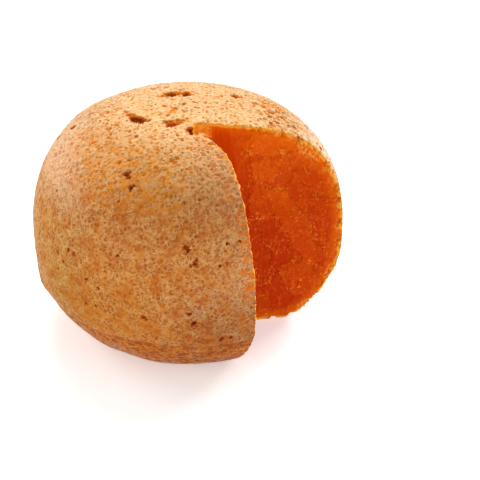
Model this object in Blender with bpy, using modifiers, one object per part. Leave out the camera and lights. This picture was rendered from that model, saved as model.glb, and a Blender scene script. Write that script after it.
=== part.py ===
"""Mimolette cheese: a ball with a flat foot, and a wedge cut out of it down to the foot.

Metres, +Z up. The origin is at the middle of the flat foot, on the ball's axis.
The notch opens towards +X and -Y.
"""
import math

import bmesh
import bpy
from mathutils import Matrix, Vector

# The ball, all but round from above
BALL_RADIUS = 0.1005
WIDEST_HEIGHT = 0.0625      # height of the widest ring above the foot
CROWN_RISE = 0.0858         # from the widest ring to the top
CROWN_POWER = 2.60          # 2 is a true ellipse; more gives a flatter top and a fuller shoulder
LOWER_DROP = 0.0793         # where the lower curve would close, if the foot didn't cut it flat
LOWER_POWER = 2.22
CROWN_ROWS = 20
LOWER_ROWS = 16
ROUND_STEPS = 96

# The worn groove low on the side, where the rind turns under
GROOVE_HEIGHT = 0.0310
GROOVE_WIDTH = 0.0035
GROOVE_DEPTH = 0.0008

# The notch, seen from above: two straight cuts that stop at a narrow blunt face
FAR_CUT_START = (0.0118, -0.0190)
FAR_CUT_ANGLE = math.radians(7.9)
NEAR_CUT_START = (0.0122, -0.0265)
NEAR_CUT_ANGLE = math.radians(-64.8)
CUT_REACH = 2.0             # cutter's length, in ball radii
CUTTER_OVERSHOOT = 0.02     # cutter's reach above the top and below the foot
POCKET_OVERLAP = 0.001      # pocket cutter's reach into the notch

# The corner broken out of the crown beside the blunt face
POCKET_LEFT = 0.0045
POCKET_FRONT = -0.0263
POCKET_BACK = -0.0195
POCKET_FLOOR = 0.1380

# Large craters in the crown's rind: angle round the axis, distance from it, width, depth
CRATERS = (
    ("crown_left", -169.5, 0.0332, 0.0100, 0.0034),
    ("crown_rear_a", 121.0, 0.0273, 0.0090, 0.0026),
    ("crown_rear_b", 106.0, 0.0255, 0.0085, 0.0028),
    ("crown_rear_c", 94.0, 0.0243, 0.0055, 0.0022),
    ("crown_right", 40.2, 0.0411, 0.0075, 0.0026),
    ("trough_left", -119.0, 0.0200, 0.0085, 0.0024),
    ("trough_right", -84.0, 0.0255, 0.0062, 0.0030),
    ("worm_rear", 21.3, 0.0535, 0.0090, 0.0026),
    ("worm_middle", 12.2, 0.0566, 0.0080, 0.0024),
    ("worm_front", 2.3, 0.0602, 0.0085, 0.0026),
)
CRATER_SEGMENTS = 12
CRATER_RINGS = 8
SLOPE_STEP = math.radians(1.0)

CHEESE_COLOR = (0.55, 0.27, 0.10, 1.0)
CHEESE_ROUGHNESS = 0.8


def clear_scene():
    """Remove the objects that the start-up file brings."""
    for thing in list(bpy.data.objects):
        bpy.data.objects.remove(thing, do_unlink=True)


def new_collection(name):
    """Make a collection in the scene."""
    collection = bpy.data.collections.new(name)
    bpy.context.scene.collection.children.link(collection)
    return collection


def crown_point(angle):
    """Radius and height on the upper curve; angle 0 is the widest ring, 90 degrees the top."""
    out = max(math.cos(angle), 0.0) ** (2.0 / CROWN_POWER)
    rise = math.sin(angle) ** (2.0 / CROWN_POWER)
    return BALL_RADIUS * out, WIDEST_HEIGHT + CROWN_RISE * rise


def lower_point(angle):
    """Radius and height on the lower curve; angle 0 is the widest ring."""
    out = math.cos(angle) ** (2.0 / LOWER_POWER)
    drop = math.sin(angle) ** (2.0 / LOWER_POWER)
    height = WIDEST_HEIGHT - LOWER_DROP * drop
    groove = GROOVE_DEPTH * math.exp(-((height - GROOVE_HEIGHT) / GROOVE_WIDTH) ** 2)
    return BALL_RADIUS * out - groove, height


def ball_profile():
    """Half outline at +X, from the top down the outer side to the middle of the foot."""
    foot_angle = math.asin((WIDEST_HEIGHT / LOWER_DROP) ** (LOWER_POWER / 2.0))
    points = [crown_point(math.radians(90.0) * (1.0 - row / CROWN_ROWS)) for row in range(CROWN_ROWS + 1)]
    points += [lower_point(foot_angle * row / LOWER_ROWS) for row in range(1, LOWER_ROWS + 1)]
    foot_radius = points[-1][0]
    points[0] = (0.0, WIDEST_HEIGHT + CROWN_RISE)
    points[-1] = (foot_radius, 0.0)
    points.append((0.0, 0.0))
    return points


def cheese_material():
    """Orange-brown cheese."""
    material = bpy.data.materials.new("cheese")
    material.use_nodes = True
    shader = material.node_tree.nodes["Principled BSDF"]
    shader.inputs["Base Color"].default_value = CHEESE_COLOR
    shader.inputs["Roughness"].default_value = CHEESE_ROUGHNESS
    shader.inputs["Metallic"].default_value = 0.0
    return material


def make_ball(collection):
    """Turn the profile into the whole ball."""
    mesh = bpy.data.meshes.new("cheese")
    points = [(radius, 0.0, height) for radius, height in ball_profile()]
    mesh.from_pydata(points, [(i, i + 1) for i in range(len(points) - 1)], [])
    ball = bpy.data.objects.new("cheese", mesh)
    collection.objects.link(ball)
    screw = ball.modifiers.new("turn", "SCREW")
    screw.axis = "Z"
    screw.steps = ROUND_STEPS
    screw.render_steps = ROUND_STEPS
    screw.use_merge_vertices = True
    screw.merge_threshold = 0.00001
    screw.use_smooth_shade = True
    mesh.materials.append(cheese_material())
    return ball


def make_cutter(name, mesh, collection):
    """Show a mesh as a wire guide that only cuts."""
    cutter = bpy.data.objects.new(name, mesh)
    collection.objects.link(cutter)
    cutter.hide_render = True
    cutter.display_type = "WIRE"
    return cutter


def subtract(target, cutter):
    """Cut one closed shape from another."""
    cut = target.modifiers.new("cut_" + cutter.name, "BOOLEAN")
    cut.operation = "DIFFERENCE"
    cut.solver = "EXACT"
    cut.object = cutter


def along(start, angle):
    """Point that a cut reaches, well outside the ball."""
    reach = CUT_REACH * BALL_RADIUS
    return start[0] + reach * math.cos(angle), start[1] + reach * math.sin(angle)


def notch_cutter(collection):
    """Upright prism between the two cuts and their blunt inner face."""
    outline = [
        FAR_CUT_START,
        NEAR_CUT_START,
        along(NEAR_CUT_START, NEAR_CUT_ANGLE),
        along(FAR_CUT_START, FAR_CUT_ANGLE),
    ]
    height = WIDEST_HEIGHT + CROWN_RISE + 2.0 * CUTTER_OVERSHOOT
    shape = bmesh.new()
    floor = shape.faces.new([shape.verts.new((x, y, -CUTTER_OVERSHOOT)) for x, y in outline])
    raised = bmesh.ops.extrude_face_region(shape, geom=[floor])["geom"]
    raised_verts = [item for item in raised if isinstance(item, bmesh.types.BMVert)]
    bmesh.ops.translate(shape, verts=raised_verts, vec=(0.0, 0.0, height))
    bmesh.ops.recalc_face_normals(shape, faces=shape.faces)
    mesh = bpy.data.meshes.new("notch")
    shape.to_mesh(mesh)
    shape.free()
    return make_cutter("notch", mesh, collection)


def pocket_cutter(collection):
    """Box from the pocket's floor and left side out into the notch and over the top."""
    low = Vector((POCKET_LEFT, POCKET_FRONT, POCKET_FLOOR))
    right = max(FAR_CUT_START[0], NEAR_CUT_START[0]) + POCKET_OVERLAP
    high = Vector((right, POCKET_BACK, WIDEST_HEIGHT + CROWN_RISE + CUTTER_OVERSHOOT))
    place = Matrix.Translation((low + high) / 2.0)
    size = Matrix.Diagonal((*(high - low), 1.0))
    shape = bmesh.new()
    bmesh.ops.create_cube(shape, size=1.0, matrix=place @ size)
    mesh = bpy.data.meshes.new("pocket")
    shape.to_mesh(mesh)
    shape.free()
    return make_cutter("pocket", mesh, collection)


def crater_cutter(name, around, out, width, depth, collection):
    """Flattened ball that dips into the crown's rind by its depth."""
    angle = math.acos((out / BALL_RADIUS) ** (CROWN_POWER / 2.0))
    radius, height = crown_point(angle)
    higher = crown_point(angle + SLOPE_STEP)
    lower = crown_point(angle - SLOPE_STEP)
    normal = Vector((higher[1] - lower[1], 0.0, lower[0] - higher[0])).normalized()
    turn = Matrix.Rotation(math.radians(around), 4, "Z")
    place = Matrix.Translation((radius, 0.0, height))
    tilt = Vector((0.0, 0.0, 1.0)).rotation_difference(normal).to_matrix().to_4x4()
    size = Matrix.Diagonal((width / 2.0, width / 2.0, depth, 1.0))
    shape = bmesh.new()
    bmesh.ops.create_uvsphere(shape, u_segments=CRATER_SEGMENTS, v_segments=CRATER_RINGS, radius=1.0)
    bmesh.ops.transform(shape, matrix=turn @ place @ tilt @ size, verts=shape.verts)
    mesh = bpy.data.meshes.new(name)
    shape.to_mesh(mesh)
    shape.free()
    return make_cutter(name, mesh, collection)


def main():
    clear_scene()
    parts = new_collection("mimolette_cheese")
    cutters = new_collection("cutters")
    ball = make_ball(parts)
    subtract(ball, notch_cutter(cutters))
    subtract(ball, pocket_cutter(cutters))
    for name, around, out, width, depth in CRATERS:
        subtract(ball, crater_cutter(name, around, out, width, depth, cutters))


main()
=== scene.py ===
"""Looks of a mimolette cheese: a pitted crust, and the flaky orange paste in the notch cut out of it."""
import functools
import math
import operator
import random

import bmesh
import bpy
import numpy as np
from mathutils import Matrix, Vector
from mathutils.bvhtree import BVHTree
from mathutils.interpolate import poly_3d_calc


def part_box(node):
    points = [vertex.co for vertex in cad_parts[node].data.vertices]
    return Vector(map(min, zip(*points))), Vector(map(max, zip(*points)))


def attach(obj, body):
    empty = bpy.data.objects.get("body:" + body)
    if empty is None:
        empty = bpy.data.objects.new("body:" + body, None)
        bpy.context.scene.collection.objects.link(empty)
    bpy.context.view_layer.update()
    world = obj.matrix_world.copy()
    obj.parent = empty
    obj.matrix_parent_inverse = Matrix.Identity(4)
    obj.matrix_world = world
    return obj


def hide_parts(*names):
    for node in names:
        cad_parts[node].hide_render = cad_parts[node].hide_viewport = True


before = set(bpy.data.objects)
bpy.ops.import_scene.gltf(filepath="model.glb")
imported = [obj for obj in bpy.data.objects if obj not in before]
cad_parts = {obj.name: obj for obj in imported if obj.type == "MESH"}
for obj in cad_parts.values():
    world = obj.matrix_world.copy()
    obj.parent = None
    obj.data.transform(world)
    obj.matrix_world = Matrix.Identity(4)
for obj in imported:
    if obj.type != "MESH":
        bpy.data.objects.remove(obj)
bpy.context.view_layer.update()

MM = 0.001

# The ball's form, as cut for the frame
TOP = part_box("cheese")[1]
BALL_RADIUS = TOP[0]
WIDEST_HEIGHT = 62.5 * MM
CROWN_RISE = TOP[2] - WIDEST_HEIGHT
CROWN_POWER = 2.60
LOWER_DROP = 79.3 * MM
LOWER_POWER = 2.22
FOOT_ROUNDING = 34.0        # higher is a sharper turn under the side
GROOVE_HEIGHT = 31.0 * MM

# The notch, seen from above
FAR_CUT_START = (11.8 * MM, -19.0 * MM)
FAR_CUT_ANGLE = math.radians(7.9)
NEAR_CUT_START = (12.2 * MM, -26.5 * MM)
NEAR_CUT_ANGLE = math.radians(-64.8)

# Fineness of the meshes
CRUST_GRID = 240      # squares along one edge of the ball's starting cube
CORE_GRID = 40
CUT_STEP = 0.62 * MM

CRUST_THICKNESS = 1.7 * MM
CREST_SINK = 0.14 * MM      # the middle of the crust's lumps lies this far inside the solid
FOOT_CLEARANCE = 0.05 * MM  # from the floor to the foot's crust

# The crust is split into a foot and three sides: angles round the split's hub. The first and the last are
# the same plane, inside the notch.
CRUST_SPLITS = (math.radians(-28.0), math.radians(92.0), math.radians(206.0), math.radians(332.0))
SPLIT_HUB = (-8.0 * MM, 10.0 * MM)
CRUST_NAMES = ("crust_right", "crust_back", "crust_front")
FOOT_SPLIT = 2.5 * MM       # height of the seam between the foot and the sides
FULL_HOLE = 2.5 * MM        # a hole this deep is noted as 1 for the colours

# Large holes in the crust: (angle round the axis, height, width, depth), sizes in mm
HOLES_BY_HEIGHT = (
    (-154.5, 111.5, 1.9, 0.7), (-141.0, 74.5, 2.6, 1.0), (-144.5, 78.0, 3.4, 0.6), (-135.5, 84.0, 3.8, 0.7),
    (-138.5, 84.5, 2.6, 1.0), (-129.5, 52.5, 3.0, 0.7), (-125.0, 53.5, 2.2, 0.8), (-123.5, 67.5, 2.4, 1.0),
    (-129.0, 70.5, 2.4, 1.0), (-116.5, 93.0, 2.3, 0.9), (-120.5, 122.0, 1.7, 0.7),
    (-117.5, 129.5, 3.2, 2.0), (-121.0, 133.0, 3.2, 1.5), (-123.0, 134.0, 4.2, 1.7),
    (-101.5, 38.5, 2.0, 0.8), (-105.0, 52.5, 2.4, 0.8), (-106.0, 54.0, 3.6, 1.0), (-91.0, 103.0, 3.6, 0.9),
    (-91.5, 126.0, 1.9, 0.8), (-100.0, 141.0, 3.0, 0.8), (-77.5, 37.0, 3.4, 1.6), (-74.0, 37.0, 2.8, 1.4),
    (-87.0, 49.5, 2.3, 0.9), (-88.0, 52.0, 3.4, 1.7), (-89.5, 59.0, 3.0, 1.5), (-78.5, 91.0, 2.4, 0.9),
    (-86.5, 91.5, 2.0, 0.8), (-89.0, 92.0, 2.1, 0.7), (-76.0, 92.0, 2.5, 0.6), (-87.5, 93.0, 3.3, 1.0),
    (-87.0, 95.5, 2.3, 0.9), (-76.5, 100.0, 1.8, 0.7), (-90.0, 101.5, 2.8, 1.1), (-75.5, 104.0, 2.4, 1.0),
    (-70.5, 104.0, 2.1, 0.9), (-85.0, 127.0, 2.3, 0.9),
)
# The same on the crown: (angle round the axis, distance from it, width, depth), sizes in mm
HOLES_BY_REACH = (
    (-178.0, 9.5, 3.2, 0.8), (-177.0, 36.5, 4.4, 1.4), (-155.0, 14.0, 3.2, 1.2), (-154.5, 28.5, 3.6, 1.6),
    (-158.0, 30.5, 6.0, 2.8), (-164.0, 33.0, 7.6, 3.5), (-170.0, 35.0, 6.0, 2.5), (-131.5, 20.0, 4.2, 1.3),
    (-149.0, 42.5, 2.2, 1.0), (-138.5, 43.0, 2.8, 1.0), (-112.5, 18.0, 6.0, 1.6), (-117.5, 19.5, 6.2, 2.0),
    (-124.0, 20.5, 5.8, 2.0), (-93.0, 12.0, 3.0, 0.7), (-103.0, 14.0, 3.8, 0.9), (-108.5, 16.0, 5.2, 1.3),
    (-102.5, 31.5, 2.4, 0.8), (-96.0, 36.5, 2.6, 0.8), (-97.0, 52.5, 2.6, 0.9), (-87.5, 24.0, 5.0, 2.8),
    (-84.0, 27.0, 5.4, 3.0), (-80.5, 28.5, 3.6, 2.0), (-70.5, 41.5, 3.4, 0.9), (-69.5, 34.0, 3.0, 1.0),
    (4.0, 52.5, 3.4, 1.0), (-5.5, 52.5, 3.4, 1.1), (-1.0, 56.0, 3.0, 1.0), (8.5, 60.5, 3.6, 1.0),
    (2.0, 68.0, 3.0, 0.9), (-5.5, 70.5, 3.4, 1.2), (24.0, 47.0, 4.0, 1.0), (20.0, 51.0, 4.4, 1.1),
    (12.0, 53.5, 3.8, 0.9), (27.0, 55.0, 3.8, 1.0), (16.0, 60.0, 3.4, 0.9), (47.0, 31.5, 2.4, 0.9),
    (42.0, 40.0, 5.8, 2.2), (37.5, 41.0, 5.2, 1.7), (31.0, 61.0, 3.2, 0.9), (70.0, 12.0, 2.4, 0.8),
    (104.0, 9.5, 3.0, 1.3), (91.0, 24.5, 5.6, 2.7), (95.5, 25.5, 6.2, 2.6), (99.5, 26.0, 4.2, 1.1),
    (105.0, 26.5, 6.0, 2.0), (99.5, 32.5, 2.6, 1.0), (109.5, 42.5, 3.8, 1.2), (122.0, 27.0, 5.0, 1.6),
    (116.0, 27.5, 7.6, 2.5), (110.5, 27.5, 8.0, 2.8), (127.0, 28.0, 4.0, 1.1), (119.5, 45.0, 4.6, 1.4),
    (131.5, 29.0, 3.0, 0.8), (158.0, 16.0, 3.2, 1.1), (170.0, 52.0, 2.6, 1.0), (170.5, 8.5, 4.4, 1.0),
    (175.5, 39.5, 3.4, 0.9),
)
# Gentle swells and dips of the whole form: (x, y, z, reach, rise), in mm
SWELLS = (
    (-74.0, 47.0, 129.0, 34.0, 1.4),
    (-100.0, -5.0, 52.0, 22.0, -1.2),
    (-92.0, -23.0, 34.0, 18.0, 1.5),
    (-64.0, -48.0, 9.0, 20.0, -0.6),
    (-42.0, -70.0, 5.0, 20.0, -1.2),
)
WORM_PLACE = (57.0, 8.0, 139.0)      # middle of the worm-eaten patch of the crown, in mm
CROWN_EDGE = 130.0 * MM     # above this height holes are spread by distance from the axis

# More holes of the same kind on the back, and smaller ones that break into the rim of each hole
HOLE_SEED = 11
BACK_HOLES = 46
BACK_TURNS = (-5.0, 172.0)           # degrees round the axis
BACK_HEIGHTS = (14.0, 136.0, 80.0)   # lowest, highest and commonest, in mm
BACK_WIDTHS = (2.0, 4.6)             # mm
BACK_STEEPNESS = (0.45, 0.75)        # depth to width
SATELLITES = 2              # for each hole
SATELLITE_OFFSETS = (0.30, 0.55)     # from the hole's middle, in its widths
SATELLITE_WIDTHS = (0.40, 0.75)      # to the hole's width
SATELLITE_DEPTHS = (0.50, 0.90)      # to the hole's depth


# ---------------------------------------------------------------- node trees

class Flow:
    """One value on its way through a node tree, with plain arithmetic."""

    def __init__(self, bench, socket):
        self.bench = bench
        self.socket = socket

    def calc(self, operation, *others):
        """Any other sum that a node can do."""
        node = self.bench.add("ShaderNodeMath", operation=operation)
        for value, socket in zip((self, *others), node.inputs):
            self.bench.plug(value, socket)
        return Flow(self.bench, node.outputs[0])

    def __add__(self, other):
        return self.calc("ADD", other)

    def __sub__(self, other):
        return self.calc("SUBTRACT", other)

    def __mul__(self, other):
        return self.calc("MULTIPLY", other)

    def __truediv__(self, other):
        return self.calc("DIVIDE", other)

    def __pow__(self, other):
        return self.calc("POWER", other)

    def flipped(self):
        """One less this value."""
        return (self * -1.0) + 1.0

    def larger(self, other):
        return self.calc("MAXIMUM", other)

    def smaller(self, other):
        return self.calc("MINIMUM", other)

    def size(self):
        return self.calc("ABSOLUTE")

    def eased(self, low, high):
        """0 at low and 1 at high, with soft ends; low may be the larger number."""
        node = self.bench.add("ShaderNodeMapRange", interpolation_type="SMOOTHSTEP")
        self.bench.plug(self, node.inputs["Value"])
        self.bench.plug(low, node.inputs["From Min"])
        self.bench.plug(high, node.inputs["From Max"])
        return Flow(self.bench, node.outputs[0])

    def bell(self, middle, width):
        """1 at the middle, dying away softly on both sides."""
        return (((self - middle) / width) ** 2.0 * -1.0).calc("EXPONENT")

    def toward(self, other, share):
        """This value, moved a share of the way to another."""
        node = self.bench.add("ShaderNodeMix", data_type="FLOAT")
        self.bench.plug(share, node.inputs[0])
        self.bench.plug(self, node.inputs[2])
        self.bench.plug(other, node.inputs[3])
        return Flow(self.bench, node.outputs[0])

    def parts(self):
        """A vector's three values."""
        node = self.bench.add("ShaderNodeSeparateXYZ")
        self.bench.plug(self, node.inputs[0])
        return [Flow(self.bench, socket) for socket in node.outputs]

    def vector(self, operation, other=None, scale=None):
        """Sums with whole vectors."""
        node = self.bench.add("ShaderNodeVectorMath", operation=operation)
        self.bench.plug(self, node.inputs[0])
        if other is not None:
            self.bench.plug(other, node.inputs[1])
        if scale is not None:
            self.bench.plug(scale, node.inputs["Scale"])
        outlet = "Value" if operation in ("DISTANCE", "DOT_PRODUCT") else "Vector"
        return Flow(self.bench, node.outputs[outlet])


class Bench:
    """A node tree and short ways to lay nodes in it."""

    def __init__(self, tree):
        self.tree = tree

    def add(self, kind, **settings):
        node = self.tree.nodes.new(kind)
        for name, value in settings.items():
            setattr(node, name, value)
        return node

    def plug(self, value, socket):
        if isinstance(value, Flow):
            self.tree.links.new(value.socket, socket)
        else:
            socket.default_value = value

    def join(self, x, y, z):
        """Three values as one vector."""
        node = self.add("ShaderNodeCombineXYZ")
        for value, socket in zip((x, y, z), node.inputs):
            self.plug(value, socket)
        return Flow(self, node.outputs[0])

    def noise(self, place, size, detail=2.0, roughness=0.5, outlet=0):
        """Smooth noise with lumps of about this size, 0 to 1; outlet 1 is three noises as one vector."""
        node = self.add("ShaderNodeTexNoise")
        self.plug(place, node.inputs["Vector"])
        node.inputs["Scale"].default_value = 1.0 / size
        node.inputs["Detail"].default_value = detail
        node.inputs["Roughness"].default_value = roughness
        return Flow(self, node.outputs[outlet])

    def cells(self, place, size, feature="F1", outlet="Distance"):
        """Cells of about this size: the distance to a middle or edge, the middle, or a random colour."""
        node = self.add("ShaderNodeTexVoronoi", feature=feature)
        self.plug(place, node.inputs["Vector"])
        node.inputs["Scale"].default_value = 1.0 / size
        return Flow(self, node.outputs[outlet])

    def cell_luck(self, place, size):
        """Three random values for each cell of this size, 0 to 1."""
        return self.cells(place, size, "F1", "Color").parts()

    def warped(self, place, size, reach, detail=1.0):
        """A place pushed about by noise, so that what is drawn there loses its regular outline."""
        push = self.noise(place, size, detail, outlet=1).vector("SUBTRACT", (0.5, 0.5, 0.5))
        return place.vector("ADD", push.vector("SCALE", scale=2.0 * reach))

    def blend(self, share, first, second, mode="MIX"):
        """Two colours mixed."""
        node = self.add("ShaderNodeMix", data_type="RGBA", blend_type=mode)
        self.plug(share, node.inputs[0])
        self.plug(first, node.inputs[6])
        self.plug(second, node.inputs[7])
        return Flow(self, node.outputs[2])

    def layered(self, colour, layers, mode="MIX"):
        """Colours laid over one another in turn; each layer is how much of it there is, and its colour."""
        for share, paint in layers:
            colour = self.blend(share, colour, paint, mode)
        return colour


class GeometryBench(Bench):
    """A geometry tree with named inputs, for a modifier."""

    def __init__(self, name, sizes):
        super().__init__(bpy.data.node_groups.new(name, "GeometryNodeTree"))
        face = self.tree.interface
        face.new_socket(name="Geometry", in_out="INPUT", socket_type="NodeSocketGeometry")
        face.new_socket(name="Geometry", in_out="OUTPUT", socket_type="NodeSocketGeometry")
        self.keys = {}
        for label, value in sizes.items():
            kind = {int: "NodeSocketInt", float: "NodeSocketFloat"}.get(type(value), "NodeSocketObject")
            socket = face.new_socket(name=label, in_out="INPUT", socket_type=kind)
            self.keys[label] = socket.identifier
        self.sizes = sizes
        self.way_in = self.add("NodeGroupInput")
        self.way_out = self.add("NodeGroupOutput")

    def given(self, label):
        """A named input."""
        return Flow(self, self.way_in.outputs[label])

    def place(self):
        return Flow(self, self.add("GeometryNodeInputPosition").outputs[0])

    def normal(self):
        return Flow(self, self.add("GeometryNodeInputNormal").outputs[0])

    def known(self, name, kind="FLOAT"):
        """A value that the mesh keeps under a name."""
        node = self.add("GeometryNodeInputNamedAttribute", data_type=kind)
        node.inputs["Name"].default_value = name
        return Flow(self, node.outputs["Attribute"])

    def moved(self, geometry, offset=None, position=None):
        node = self.add("GeometryNodeSetPosition")
        self.plug(geometry, node.inputs["Geometry"])
        if offset is not None:
            self.plug(offset, node.inputs["Offset"])
        if position is not None:
            self.plug(position, node.inputs["Position"])
        return Flow(self, node.outputs[0])

    def noted(self, geometry, name, value, kind="FLOAT"):
        """Keep a value on the mesh under a name."""
        node = self.add("GeometryNodeStoreNamedAttribute", data_type=kind, domain="POINT")
        self.plug(geometry, node.inputs["Geometry"])
        node.inputs["Name"].default_value = name
        self.plug(value, node.inputs["Value"])
        return Flow(self, node.outputs[0])

    def on_surface(self, source, value, data_type="FLOAT"):
        """A value read from the nearest place of another geometry's surface."""
        node = self.add("GeometryNodeSampleNearestSurface", data_type=data_type)
        self.plug(source, node.inputs["Mesh"])
        self.plug(value, node.inputs["Value"])
        self.plug(self.place(), node.inputs["Sample Position"])
        return Flow(self, node.outputs["Value"])

    def at_nearest(self, spot, source, value, data_type="FLOAT"):
        """A value read from the point of another geometry that lies nearest to a spot."""
        nearest = self.add("GeometryNodeSampleNearest", domain="POINT")
        self.plug(source, nearest.inputs["Geometry"])
        self.plug(spot, nearest.inputs["Sample Position"])
        node = self.add("GeometryNodeSampleIndex", data_type=data_type, domain="POINT")
        self.plug(source, node.inputs["Geometry"])
        self.plug(value, node.inputs["Value"])
        self.tree.links.new(nearest.outputs[0], node.inputs["Index"])
        return Flow(self, node.outputs["Value"])

    def mesh_of(self, label):
        """The mesh of an object that the tree is given."""
        node = self.add("GeometryNodeObjectInfo", transform_space="ORIGINAL")
        self.plug(self.given(label), node.inputs["Object"])
        return Flow(self, node.outputs["Geometry"])

    def finished(self, geometry, material=None):
        """End the tree: real geometry, in one material unless it keeps those it has."""
        real = self.add("GeometryNodeRealizeInstances")
        self.plug(geometry, real.inputs[0])
        last = real.outputs[0]
        if material is not None:
            painted = self.add("GeometryNodeSetMaterial")
            self.tree.links.new(last, painted.inputs["Geometry"])
            painted.inputs["Material"].default_value = material
            last = painted.outputs[0]
        self.tree.links.new(last, self.way_out.inputs[0])

    def apply_to(self, piece, **changed):
        """Run the tree on a piece, and leave a plain mesh. An input's name is given with _ for a space."""
        values = {**self.sizes, **{label.replace("_", " "): value for label, value in changed.items()}}
        modifier = piece.modifiers.new(self.tree.name, "NODES")
        modifier.node_group = self.tree
        for label, value in values.items():
            modifier[self.keys[label]] = value
        return made_plain(piece)


def made_plain(piece):
    """Replace a piece's mesh by what its modifiers make of it, and drop them."""
    bpy.context.view_layer.update()
    graph = bpy.context.evaluated_depsgraph_get()
    mesh = bpy.data.meshes.new_from_object(
        piece.evaluated_get(graph), preserve_all_data_layers=True, depsgraph=graph
    )
    piece.modifiers.clear()
    piece.data = mesh
    mesh.name = piece.name
    return piece


def new_piece(name, mesh=None):
    """An object at the origin, with an empty mesh unless it is given one."""
    piece = bpy.data.objects.new(name, mesh or bpy.data.meshes.new(name))
    bpy.context.scene.collection.objects.link(piece)
    return piece


def discard(piece):
    bpy.data.objects.remove(piece, do_unlink=True)


# ---------------------------------------------------------------- the ball's form

def surface_height(reach):
    """Height of the crown at a distance from the axis."""
    return WIDEST_HEIGHT + CROWN_RISE * (1.0 - (reach / BALL_RADIUS) ** CROWN_POWER) ** (1.0 / CROWN_POWER)


def surface_reach(height):
    """Distance from the axis to the side at a height."""
    if height > WIDEST_HEIGHT:
        rise, power = (height - WIDEST_HEIGHT) / CROWN_RISE, CROWN_POWER
    else:
        rise, power = (WIDEST_HEIGHT - height) / LOWER_DROP, LOWER_POWER
    return BALL_RADIUS * (1.0 - rise ** power) ** (1.0 / power)


def large_holes(draw):
    """Angle, distance from the axis, height, width and depth of every large hole; the last two in mm."""
    holes = [
        (math.radians(turn), surface_reach(height * MM), height * MM, width, depth)
        for turn, height, width, depth in HOLES_BY_HEIGHT
    ]
    holes += [
        (math.radians(turn), reach * MM, surface_height(reach * MM), width, depth)
        for turn, reach, width, depth in HOLES_BY_REACH
    ]
    for _ in range(BACK_HOLES):
        turn = math.radians(draw.uniform(*BACK_TURNS))
        height = draw.triangular(*BACK_HEIGHTS) * MM
        width = draw.uniform(*BACK_WIDTHS)
        depth = width * draw.uniform(*BACK_STEEPNESS)
        holes.append((turn, surface_reach(height), height, width, depth))
    return holes


def holes_beside(holes, draw):
    """The smaller holes that break into the rims of large ones, told in the same way."""
    smaller = []
    for turn, reach, height, width, depth in holes:
        for _ in range(SATELLITES):
            way = draw.uniform(-math.pi, math.pi)
            off = width * MM * draw.uniform(*SATELLITE_OFFSETS)
            aside = turn + off * math.cos(way) / reach
            up = off * math.sin(way)
            if height > CROWN_EDGE:
                spot = (aside, reach + up, surface_height(reach + up))
            else:
                spot = (aside, surface_reach(height + up), height + up)
            size = (width * draw.uniform(*SATELLITE_WIDTHS), depth * draw.uniform(*SATELLITE_DEPTHS))
            smaller.append(spot + size)
    return smaller


def hole_guide(name, holes):
    """A cloud of points at the middles of holes; each keeps its hole's width and depth."""
    mesh = bpy.data.meshes.new(name)
    mesh.from_pydata([(r * math.cos(a), r * math.sin(a), z) for a, r, z, _, _ in holes], [], [])
    for label, column in (("width", 3), ("depth", 4)):
        layer = mesh.attributes.new(label, "FLOAT", "POINT")
        layer.data.foreach_set("value", [hole[column] * MM for hole in holes])
    return new_piece(name, mesh)


def bowl(bench, guide, spot):
    """How deep the nearest hole of a guide is at a place."""
    holes = bench.mesh_of(guide)
    centre = bench.at_nearest(spot, holes, bench.place(), "FLOAT_VECTOR")
    width = bench.at_nearest(spot, holes, bench.known("width"))
    depth = bench.at_nearest(spot, holes, bench.known("depth"))
    away = spot.vector("DISTANCE", centre) / (width * 0.5)
    return away.eased(1.15, 0.45) * depth


def smooth_ball(bench):
    """A cube's grid blown up to the ball's smooth form. Every size is a named input."""
    cube = bench.add("GeometryNodeMeshCube")
    cube.inputs["Size"].default_value = (2.0, 2.0, 2.0)
    count = bench.given("Grid") + 1.0
    for side in ("Vertices X", "Vertices Y", "Vertices Z"):
        bench.plug(count, cube.inputs[side])
    even = [(part * (math.pi / 4.0)).calc("TANGENT") for part in bench.place().parts()]
    x, y, z = bench.join(*even).vector("NORMALIZE").parts()
    out = ((x * x) + (y * y)).calc("SQRT")
    rise = z.larger(0.0)
    drop = (z * -1.0).larger(0.0)
    sink = bench.given("Sink")
    radius = bench.given("Radius") - sink
    crown_rise = bench.given("Crown rise") - sink
    lower_drop = bench.given("Lower drop") - sink
    crown = bench.given("Crown power")
    lower = bench.given("Lower power")
    above = ((out / radius) ** crown + (rise / crown_rise) ** crown) ** (crown ** -1.0)
    below = ((out / radius) ** lower + (drop / lower_drop) ** lower) ** (lower ** -1.0)
    foot = drop / (bench.given("Widest height") - bench.given("Foot sink"))
    edge = bench.given("Foot rounding")
    rounded = (below ** edge + foot ** edge) ** (edge ** -1.0)
    nearness = above.toward(rounded, z.calc("LESS_THAN", 0.0))
    reach = nearness ** -1.0
    spot = bench.join(x * reach, y * reach, z * reach + bench.given("Widest height"))
    return bench.moved(Flow(bench, cube.outputs["Mesh"]), position=spot)


BALL_SIZES = {
    "Grid": CRUST_GRID,
    "Radius": BALL_RADIUS,
    "Widest height": WIDEST_HEIGHT,
    "Crown rise": CROWN_RISE,
    "Crown power": CROWN_POWER,
    "Lower drop": LOWER_DROP,
    "Lower power": LOWER_POWER,
    "Foot rounding": FOOT_ROUNDING,
    "Sink": 0.0,
    "Foot sink": 0.0,
}


# The crust's patterns, in mm
LUMP_SIZE = 38.0
WAVE_SIZE = 9.0
DISH_SIZE = 3.1
PIT_SPACING = 6.0
SPONGE_DEPTH = 0.95
PIT_DEPTH = 0.9
GROOVE_DEPTH = 0.8


def slow_waves(bench, mm):
    """The crust's broad lumps and its smaller waves, each 0 to 1."""
    return bench.noise(mm, LUMP_SIZE, 2.0), bench.noise(mm, WAVE_SIZE, 2.0)


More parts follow.
